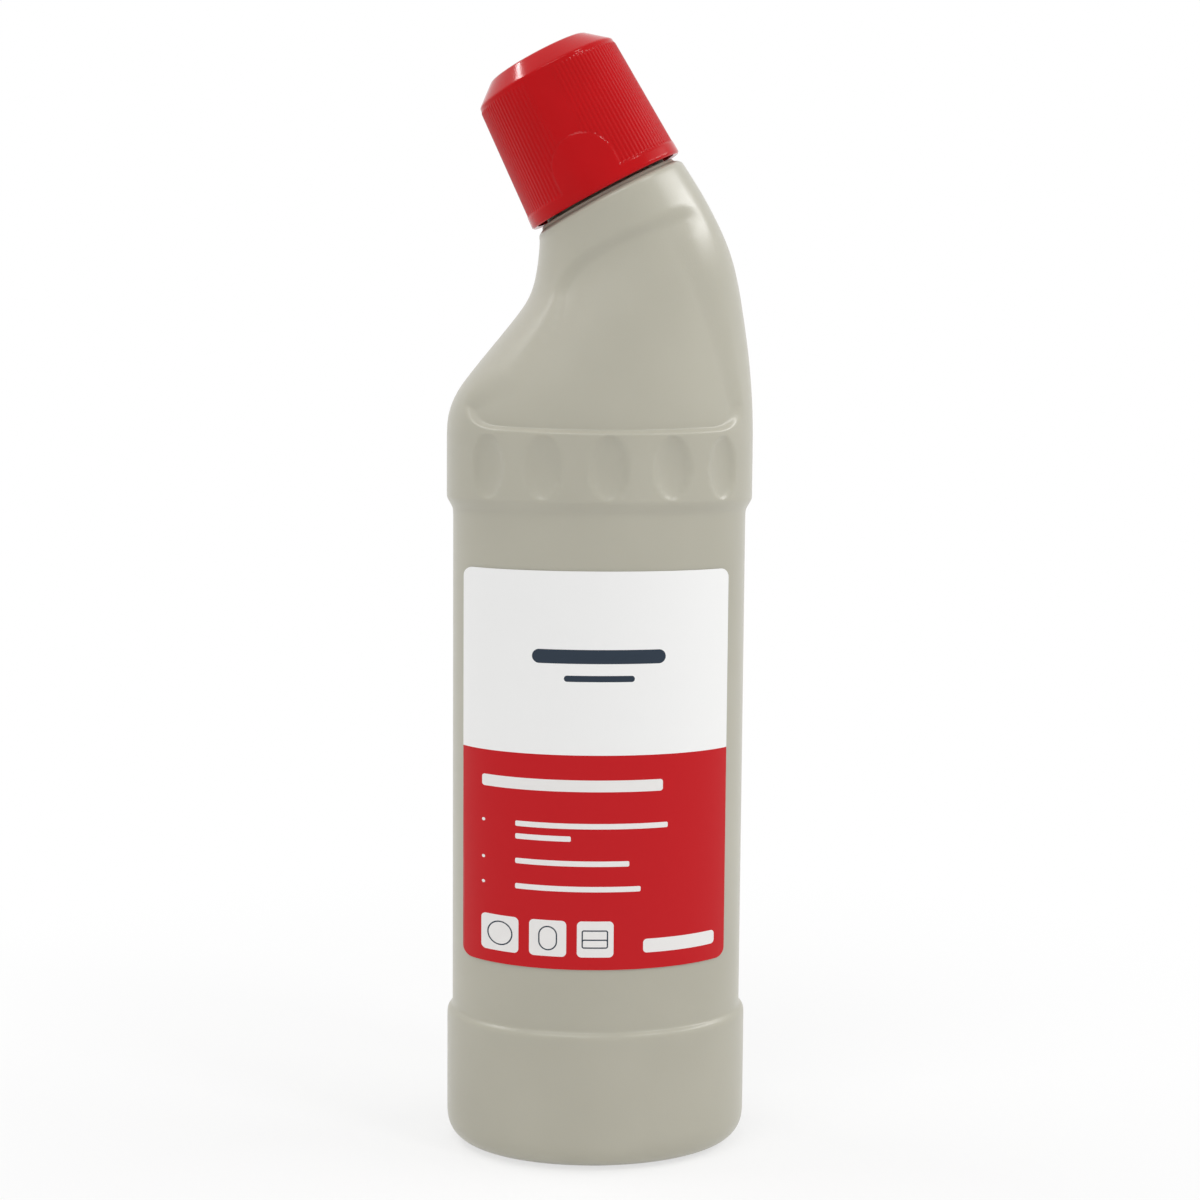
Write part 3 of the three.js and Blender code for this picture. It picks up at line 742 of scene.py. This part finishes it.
def label_sheet(looks):
    """A strip of the body's oval, lifted off the plastic, cut to a window with round corners."""
    inset = LABEL_RECESS - LABEL_PROUD
    across, along = FOOT_HALF_WIDTH - inset, FOOT_HALF_DEPTH - inset
    low, high = label_low.z, label_high.z
    heights = (low - LABEL_MARGIN, (low + high) / 2, high + LABEL_MARGIN)
    sheet = extrude_rings("front_label_film", LABEL_SIDES, [(height, across, along) for height in heights])
    bpy.ops.mesh.select_all(action="SELECT")
    front = (0, -along * LABEL_FRONT_SHARE, 0)
    bpy.ops.mesh.bisect(plane_co=front, plane_no=(0, 1, 0), clear_outer=True)
    leave_solid()
    if sheet.data.polygons[0].normal.y > 0:
        sheet.data.flip_normals()
    thickness = sheet.modifiers.new("thickness", "SOLIDIFY")
    thickness.thickness = LABEL_FILM
    thickness.offset = 1
    apply_modifiers(sheet)
    window = label_window(low, high)
    cut = sheet.modifiers.new("window", "BOOLEAN")
    cut.operation = "INTERSECT"
    cut.solver = "EXACT"
    cut.object = window
    apply_modifiers(sheet)
    bpy.data.objects.remove(window)
    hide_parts("front_label")
    finish_piece(sheet, "bottle", looks, smooth_angle=40)


def label_window(low, high):
    place = ((label_low.x + label_high.x) / 2, -FOOT_HALF_DEPTH, (low + high) / 2)
    size = (label_high.x - label_low.x, 2 * FOOT_HALF_DEPTH, high - low)
    bpy.ops.object.select_all(action="DESELECT")
    bpy.ops.mesh.primitive_cube_add(size=1, location=place, scale=size)
    window = bpy.context.object
    bpy.ops.object.transform_apply(location=True, rotation=True, scale=True)
    bpy.ops.object.mode_set(mode="EDIT")
    select_edges(window, lambda edge: abs(edge.verts[0].co.y - edge.verts[1].co.y) > FOOT_HALF_DEPTH)
    bpy.ops.mesh.bevel(offset=LABEL_CORNER, segments=10, affect="EDGES")
    bpy.ops.object.mode_set(mode="OBJECT")
    return window


# Material helpers

NOISE_RANGE = (0.3, 0.7)
COAT_ROUGHNESS = 0.12

# The Mix node's colour sockets share their names with its other sockets, so they go by number
MIX_FIRST, MIX_SECOND, MIX_RESULT = 6, 7, 2


def new_material(name):
    looks = bpy.data.materials.new(name)
    looks.use_nodes = True
    return looks, looks.node_tree.nodes, looks.node_tree.links, shader_of(looks)


def shader_of(looks):
    return looks.node_tree.nodes["Principled BSDF"]


def set_inputs(node, values):
    for name, value in values.items():
        node.inputs[name].default_value = value


def rgb(red, green, blue):
    """A screen colour of 0 to 255 as linear light."""
    return tuple((value / 255) ** 2.2 for value in (red, green, blue)) + (1,)


def maths(nodes, links, operation, first, second=None):
    """A Math node's result from numbers or other nodes' outputs."""
    step = nodes.new("ShaderNodeMath")
    step.operation = operation
    for socket, value in zip(step.inputs, (first, second)):
        if isinstance(value, (int, float)):
            socket.default_value = value
        elif value is not None:
            links.new(value, socket)
    return step.outputs["Value"]


def mix_colour(nodes, links, mask, first, second):
    mix = nodes.new("ShaderNodeMix")
    mix.data_type = "RGBA"
    links.new(mask, mix.inputs["Factor"])
    for socket, colour in ((mix.inputs[MIX_FIRST], first), (mix.inputs[MIX_SECOND], second)):
        if isinstance(colour, tuple):
            socket.default_value = colour
        else:
            links.new(colour, socket)
    return mix.outputs[MIX_RESULT]


def new_group(name, floats_in, floats_out, vectors_out=()):
    """An empty node group with its sockets."""
    group = bpy.data.node_groups.new(name, "ShaderNodeTree")
    for names, side, kind in (
        (floats_in, "INPUT", "NodeSocketFloat"), (floats_out, "OUTPUT", "NodeSocketFloat"),
        (vectors_out, "OUTPUT", "NodeSocketVector"),
    ):
        for socket_name in names:
            group.interface.new_socket(name=socket_name, in_out=side, socket_type=kind)
    return group, group.nodes, group.links


SURFACE_SIZES = ("Gloss Low", "Gloss High", "Grain Scale", "Grain Depth", "Wave Scale", "Wave Depth")


def moulded_surface_group():
    """Soft unevenness of moulded plastic: a tone mask, a gloss value and a surface normal."""
    group, nodes, links = new_group("moulded_surface", SURFACE_SIZES, ("Tone", "Roughness"), ("Normal",))
    given = nodes.new("NodeGroupInput")
    result = nodes.new("NodeGroupOutput")
    place = nodes.new("ShaderNodeTexCoord")
    wave = nodes.new("ShaderNodeTexNoise")
    set_inputs(wave, {"Detail": 2})
    grain = nodes.new("ShaderNodeTexNoise")
    set_inputs(grain, {"Detail": 1})
    for noise, scale in ((wave, "Wave Scale"), (grain, "Grain Scale")):
        links.new(place.outputs["Object"], noise.inputs["Vector"])
        links.new(given.outputs[scale], noise.inputs["Scale"])
    gloss = nodes.new("ShaderNodeMapRange")
    set_inputs(gloss, {"From Min": NOISE_RANGE[0], "From Max": NOISE_RANGE[1]})
    links.new(wave.outputs["Fac"], gloss.inputs["Value"])
    links.new(given.outputs["Gloss Low"], gloss.inputs["To Min"])
    links.new(given.outputs["Gloss High"], gloss.inputs["To Max"])
    broad = nodes.new("ShaderNodeBump")
    fine = nodes.new("ShaderNodeBump")
    for bump, noise, depth in ((broad, wave, "Wave Depth"), (fine, grain, "Grain Depth")):
        links.new(noise.outputs["Fac"], bump.inputs["Height"])
        links.new(given.outputs[depth], bump.inputs["Distance"])
    links.new(broad.outputs["Normal"], fine.inputs["Normal"])
    links.new(wave.outputs["Fac"], result.inputs["Tone"])
    links.new(gloss.outputs["Result"], result.inputs["Roughness"])
    links.new(fine.outputs["Normal"], result.inputs["Normal"])
    return group


def moulded(nodes, links, shader, group, gloss, grain, wave):
    """Gives a shader the moulded surface: gloss is (low, high), grain and wave are (scale, depth)."""
    surface = nodes.new("ShaderNodeGroup")
    surface.node_tree = group
    set_inputs(surface, dict(zip(SURFACE_SIZES, (*gloss, *grain, *wave))))
    links.new(surface.outputs["Roughness"], shader.inputs["Roughness"])
    links.new(surface.outputs["Normal"], shader.inputs["Normal"])
    return surface


def plastic(name, group, tones, gloss, grain, wave, coat=0.0):
    """A moulded plastic whose colour drifts between two close tones."""
    looks, nodes, links, shader = new_material(name)
    surface = moulded(nodes, links, shader, group, gloss, grain, wave)
    ramp = nodes.new("ShaderNodeValToRGB")
    for stop, place, tone in zip(ramp.color_ramp.elements, NOISE_RANGE, tones):
        stop.position = place
        stop.color = tone
    links.new(surface.outputs["Tone"], ramp.inputs["Fac"])
    links.new(ramp.outputs["Color"], shader.inputs["Base Color"])
    set_inputs(shader, {"Coat Weight": coat, "Coat Roughness": COAT_ROUGHNESS})
    return looks


def bottle_plastic(group):
    looks = plastic(
        "satin_beige_polyethylene", group, (rgb(176, 173, 158), rgb(182, 179, 164)),
        gloss=(0.28, 0.33), grain=(2400, 0.000015), wave=(28, 0.00008),
    )
    set_inputs(shader_of(looks), {
        "Subsurface Weight": 0.12, "Subsurface Radius": (1, 0.9, 0.7), "Subsurface Scale": 0.004,
    })
    return looks


def cap_plastic(group):
    looks = plastic(
        "glossy_red_polypropylene", group, (rgb(184, 6, 16), rgb(191, 10, 20)),
        gloss=(0.12, 0.16), grain=(900, 0.000004), wave=(60, 0.00003),
    )
    set_inputs(shader_of(looks), {"Specular IOR Level": 0.14})
    return looks


def dress_hidden_pieces(group):
    """The pieces under the cap and inside the bottle keep their CAD form and get their finish."""
    finishes = {
        "spout_insert": plastic(
            "milky_spout_plastic", group, (rgb(224, 224, 216), rgb(232, 232, 226)),
            gloss=(0.4, 0.5), grain=(1500, 0.00002), wave=(60, 0.00005),
        ),
        "sealing_disc": plastic(
            "liner_foam", group, (rgb(232, 230, 220), rgb(240, 238, 230)),
            gloss=(0.7, 0.85), grain=(3000, 0.00008), wave=(200, 0.00005),
        ),
        "cleaner_liquid": plastic(
            "blue_cleaner", group, (rgb(40, 92, 168), rgb(52, 110, 184)),
            gloss=(0.08, 0.12), grain=(300, 0.00001), wave=(20, 0.00002), coat=0.5,
        ),
    }
    for node, looks in finishes.items():
        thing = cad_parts[node]
        thing.data.materials.clear()
        thing.data.materials.append(looks)


# The label's print

# Marks in millimetres from the label's lower left corner: left, bottom, width and height, and where they
# differ from a plain bar's, the corner's radius and the thickness of the line that outlines the mark
RED_FIELD_HEIGHT = 55.6
BAR_EDGE = 0.4
THIN_LINE = 0.35
FILLED = 1.0
LINE_LEFT, LINE_HEIGHT, LINE_STEP = 13.2, 1.4, 3.3
POINT_LEFT, POINT_SIZE, POINT_RISE = 4.8, 0.8, 0.3
LINE_BLOCKS = ((36.6, (39, 14)), (26.9, (29,)), (20.3, (32,)))
SQUARE_LEFT, SQUARE_BOTTOM, SQUARE_SIZE, SQUARE_STEP, SQUARE_CORNER = 4.7, 3.3, 9.4, 12.1, 1.2
WHITE_BARS = ((4.8, 46.2, 46, 3, 0.7), (46, 4.2, 19.4, 3.6, 1))
INK_MARKS = (
    (6.2, 4.8, 6.4, 6.4, 3.2, THIN_LINE),
    (19.1, 4.8, 4.8, 6.4, 2.4, THIN_LINE),
    (30.1, 5.6, 6.8, 4.8, 0.6, THIN_LINE),
    (30.1, 5.6, 6.8, 2.4, 0.6, THIN_LINE),
    (17.2, 79, 34, 3.6, 1.8),
    (25.2, 74.4, 18, 1.6, 0.8),
)
MARK_SIZES = ("Middle Across", "Middle Up", "Half Width", "Half Height", "Corner", "Line")


def bar(left, bottom, width, height, corner=BAR_EDGE, line=None):
    """A mark's MARK_SIZES in metres; with no line given, one thicker than any mark fills it."""
    return (
        label_low.x + (left + width / 2) * MM, label_low.z + (bottom + height / 2) * MM,
        width / 2 * MM, height / 2 * MM, corner * MM, FILLED if line is None else line * MM,
    )


def white_marks():
    """A heading bar, a bar in the corner, blocks of lines with a point before each, and three squares."""
    marks = [bar(*sizes) for sizes in WHITE_BARS]
    for bottom, lengths in LINE_BLOCKS:
        marks.append(bar(POINT_LEFT, bottom + POINT_RISE, POINT_SIZE, POINT_SIZE))
        for i, length in enumerate(lengths):
            marks.append(bar(LINE_LEFT, bottom - LINE_STEP * i, length, LINE_HEIGHT))
    for i in range(3):
        left = SQUARE_LEFT + SQUARE_STEP * i
        marks.append(bar(left, SQUARE_BOTTOM, SQUARE_SIZE, SQUARE_SIZE, SQUARE_CORNER))
    return marks


def ink_marks():
    """Thin outlines in the squares, and a plain heading in two bars on the white field."""
    return [bar(*sizes) for sizes in INK_MARKS]


def print_mark_group():
    """A mask for one round-cornered bar in front view, filled or as a line round its edge."""
    group, nodes, links = new_group("print_mark", ("Across", "Up", *MARK_SIZES), ("Mask",))
    given = nodes.new("NodeGroupInput").outputs

    def work(operation, *values):
        return maths(nodes, links, operation, *values)

    def beyond(place, middle, half):
        """How far a point lies past the straight part of the bar in one direction."""
        away = work("ABSOLUTE", work("SUBTRACT", given[place], given[middle]))
        return work("SUBTRACT", away, work("SUBTRACT", given[half], given["Corner"]))

    across = beyond("Across", "Middle Across", "Half Width")
    up = beyond("Up", "Middle Up", "Half Height")
    squares = [work("POWER", work("MAXIMUM", distance, 0), 2) for distance in (across, up)]
    round_part = work("SQRT", work("ADD", *squares))
    flat_part = work("MINIMUM", work("MAXIMUM", across, up), 0)
    distance = work("SUBTRACT", work("ADD", round_part, flat_part), given["Corner"])
    inside = work("LESS_THAN", distance, 0)
    near_edge = work("LESS_THAN", work("MULTIPLY", distance, -1), given["Line"])
    links.new(work("MULTIPLY", inside, near_edge), nodes.new("NodeGroupOutput").inputs["Mask"])
    return group


def print_mark(nodes, links, stamp, apart, sizes):
    mark = nodes.new("ShaderNodeGroup")
    mark.node_tree = stamp
    links.new(apart.outputs["X"], mark.inputs["Across"])
    links.new(apart.outputs["Z"], mark.inputs["Up"])
    set_inputs(mark, dict(zip(MARK_SIZES, sizes)))
    return mark.outputs["Mask"]


def label_film_print(group):
    """White film above and red below, with plain bars and squares in place of the print."""
    looks, nodes, links, shader = new_material("printed_label_film")
    moulded(nodes, links, shader, group, gloss=(0.3, 0.38), grain=(1800, 0.000008), wave=(60, 0.00003))
    place = nodes.new("ShaderNodeTexCoord")
    apart = nodes.new("ShaderNodeSeparateXYZ")
    links.new(place.outputs["Object"], apart.inputs["Vector"])
    field_top = label_low.z + RED_FIELD_HEIGHT * MM
    above = maths(nodes, links, "GREATER_THAN", apart.outputs["Z"], field_top)
    colour = mix_colour(nodes, links, above, rgb(194, 30, 36), rgb(246, 246, 245))
    stamp = print_mark_group()
    for marks, shade in ((white_marks(), rgb(238, 236, 234)), (ink_marks(), rgb(52, 62, 74))):
        for sizes in marks:
            mask = print_mark(nodes, links, stamp, apart, sizes)
            colour = mix_colour(nodes, links, mask, colour, shade)
    links.new(colour, shader.inputs["Base Color"])
    set_inputs(shader, {"Specular IOR Level": 0.15})
    return looks


# Floor, sky and lights

FLOOR_RADIUS = 6
FLOOR_SIDES = 96
FLOOR_CLEAR = 0.09
FLOOR_WHITE = 0.34
FLOOR_NEAR_SHARE = 0.66
SKY_STRENGTH = 0.54
PLAIN_WHITE = (1, 1, 1, 1)
LAMP_AIM = Vector((0, 0, 0.15))

# Name, place, size and power in watts of each lamp
SOFT_BOXES = (
    ("left_strip", (-0.68, 0.24, 1.0), (0.6, 0.05), 2.4),
    ("right_strip", (0.9, -0.02, 0.8), (0.8, 0.03), 3.4),
    ("key_soft_box", (0.6, -0.6, 1.15), (0.2, 0.2), 2),
    ("front_soft_box", (-0.35, -0.7, 1.3), (0.8, 0.5), 4),
)


def shown_backdrop(nodes, links):
    """1 for what the camera sees, straight, in a reflection or through glass, and 0 for the light itself."""
    path = nodes.new("ShaderNodeLightPath").outputs
    seen = path["Is Camera Ray"]
    for name in ("Is Glossy Ray", "Is Transmission Ray"):
        seen = maths(nodes, links, "MAXIMUM", seen, path[name])
    return seen


def mix_shaders(nodes, links, share, first, second):
    mix = nodes.new("ShaderNodeMixShader")
    for socket, output in zip(mix.inputs, (share, first, second)):
        links.new(output, socket)
    return mix.outputs["Shader"]


def pale_floor():
    """White paint that keeps the bottle's soft shadow close by and turns plain white further out."""
    looks, nodes, links, shader = new_material("pale_floor_paint")
    set_inputs(shader, {"Base Color": (0.93, 0.93, 0.93, 1), "Roughness": 0.7, "Specular IOR Level": 0.2})
    white = nodes.new("ShaderNodeEmission")
    set_inputs(white, {"Strength": 1, "Color": PLAIN_WHITE})
    place = nodes.new("ShaderNodeTexCoord")
    away = nodes.new("ShaderNodeVectorMath")
    away.operation = "LENGTH"
    links.new(place.outputs["Object"], away.inputs[0])
    fade = nodes.new("ShaderNodeMapRange")
    fade.interpolation_type = "SMOOTHSTEP"
    set_inputs(fade, {
        "From Min": FLOOR_CLEAR, "From Max": FLOOR_WHITE, "To Min": FLOOR_NEAR_SHARE, "To Max": 1,
    })
    links.new(away.outputs["Value"], fade.inputs["Value"])
    share = maths(nodes, links, "MULTIPLY", shown_backdrop(nodes, links), fade.outputs["Result"])
    surface = mix_shaders(nodes, links, share, shader.outputs["BSDF"], white.outputs["Emission"])
    links.new(surface, nodes["Material Output"].inputs["Surface"])
    bpy.ops.object.select_all(action="DESELECT")
    bpy.ops.mesh.primitive_circle_add(
        vertices=FLOOR_SIDES, radius=FLOOR_RADIUS, fill_type="NGON", location=(0, 0, 0),
    )
    floor = bpy.context.object
    floor.name = "studio_floor"
    floor.data.materials.append(looks)


def studio_world():
    """A dim even sky for the light, and plain white behind the bottle."""
    world = bpy.data.worlds.new("studio_sky")
    world.use_nodes = True
    bpy.context.scene.world = world
    nodes, links = world.node_tree.nodes, world.node_tree.links
    light = nodes["Background"]
    set_inputs(light, {"Color": PLAIN_WHITE, "Strength": SKY_STRENGTH})
    backdrop = nodes.new("ShaderNodeBackground")
    set_inputs(backdrop, {"Color": PLAIN_WHITE, "Strength": 1})
    seen = shown_backdrop(nodes, links)
    sky = mix_shaders(nodes, links, seen, light.outputs["Background"], backdrop.outputs["Background"])
    links.new(sky, nodes["World Output"].inputs["Surface"])


def studio_lights():
    for name, place, size, power in SOFT_BOXES:
        lamp = bpy.data.lights.new(name, "AREA")
        lamp.shape = "RECTANGLE"
        lamp.size, lamp.size_y = size
        lamp.energy = power
        thing = bpy.data.objects.new(name, lamp)
        thing.location = place
        thing.rotation_euler = (LAMP_AIM - Vector(place)).to_track_quat("-Z", "Y").to_euler()
        bpy.context.collection.objects.link(thing)


# The photograph's camera, in pixels, degrees and metres

PHOTO_SIZE = 1200
PHOTO_SCALE = 0.2663 * MM
PHOTO_FOCAL = 2101
PHOTO_PITCH = math.radians(5.38)
PHOTO_YAW = math.radians(4.2)
PHOTO_ROLL = math.radians(0.44)
PHOTO_AXIS_AT_MIDDLE = 598.9
PHOTO_MIDDLE = Vector((0, 0, 146 * MM))
SENSOR_WIDTH = 36
CLIP_RANGE = (0.05, 20)


def photo_camera():
    camera = bpy.data.cameras.new("photo_camera")
    camera.sensor_width = SENSOR_WIDTH
    camera.sensor_fit = "HORIZONTAL"
    camera.lens = SENSOR_WIDTH * PHOTO_FOCAL / PHOTO_SIZE
    camera.clip_start, camera.clip_end = CLIP_RANGE
    camera.shift_x = (PHOTO_SIZE / 2 - PHOTO_AXIS_AT_MIDDLE) / PHOTO_SIZE
    thing = bpy.data.objects.new("photo_camera", camera)
    bpy.context.collection.objects.link(thing)
    level = math.cos(PHOTO_PITCH)
    back = Vector((-math.sin(PHOTO_YAW) * level, -math.cos(PHOTO_YAW) * level, math.sin(PHOTO_PITCH)))
    look = (-back).to_track_quat("-Z", "Y").to_matrix().to_4x4()
    place = Matrix.Translation(PHOTO_MIDDLE + back * PHOTO_FOCAL * PHOTO_SCALE)
    thing.matrix_world = place @ look @ Matrix.Rotation(PHOTO_ROLL, 4, "Z")
    bpy.context.scene.camera = thing


def main():
    bpy.context.scene.view_settings.view_transform = "Standard"
    photo_camera()
    studio_world()
    studio_lights()
    pale_floor()
    surface = moulded_surface_group()
    bottle_shell(bottle_plastic(surface))
    cap_shell(cap_plastic(surface))
    label_sheet(label_film_print(surface))
    dress_hidden_pieces(surface)


main()
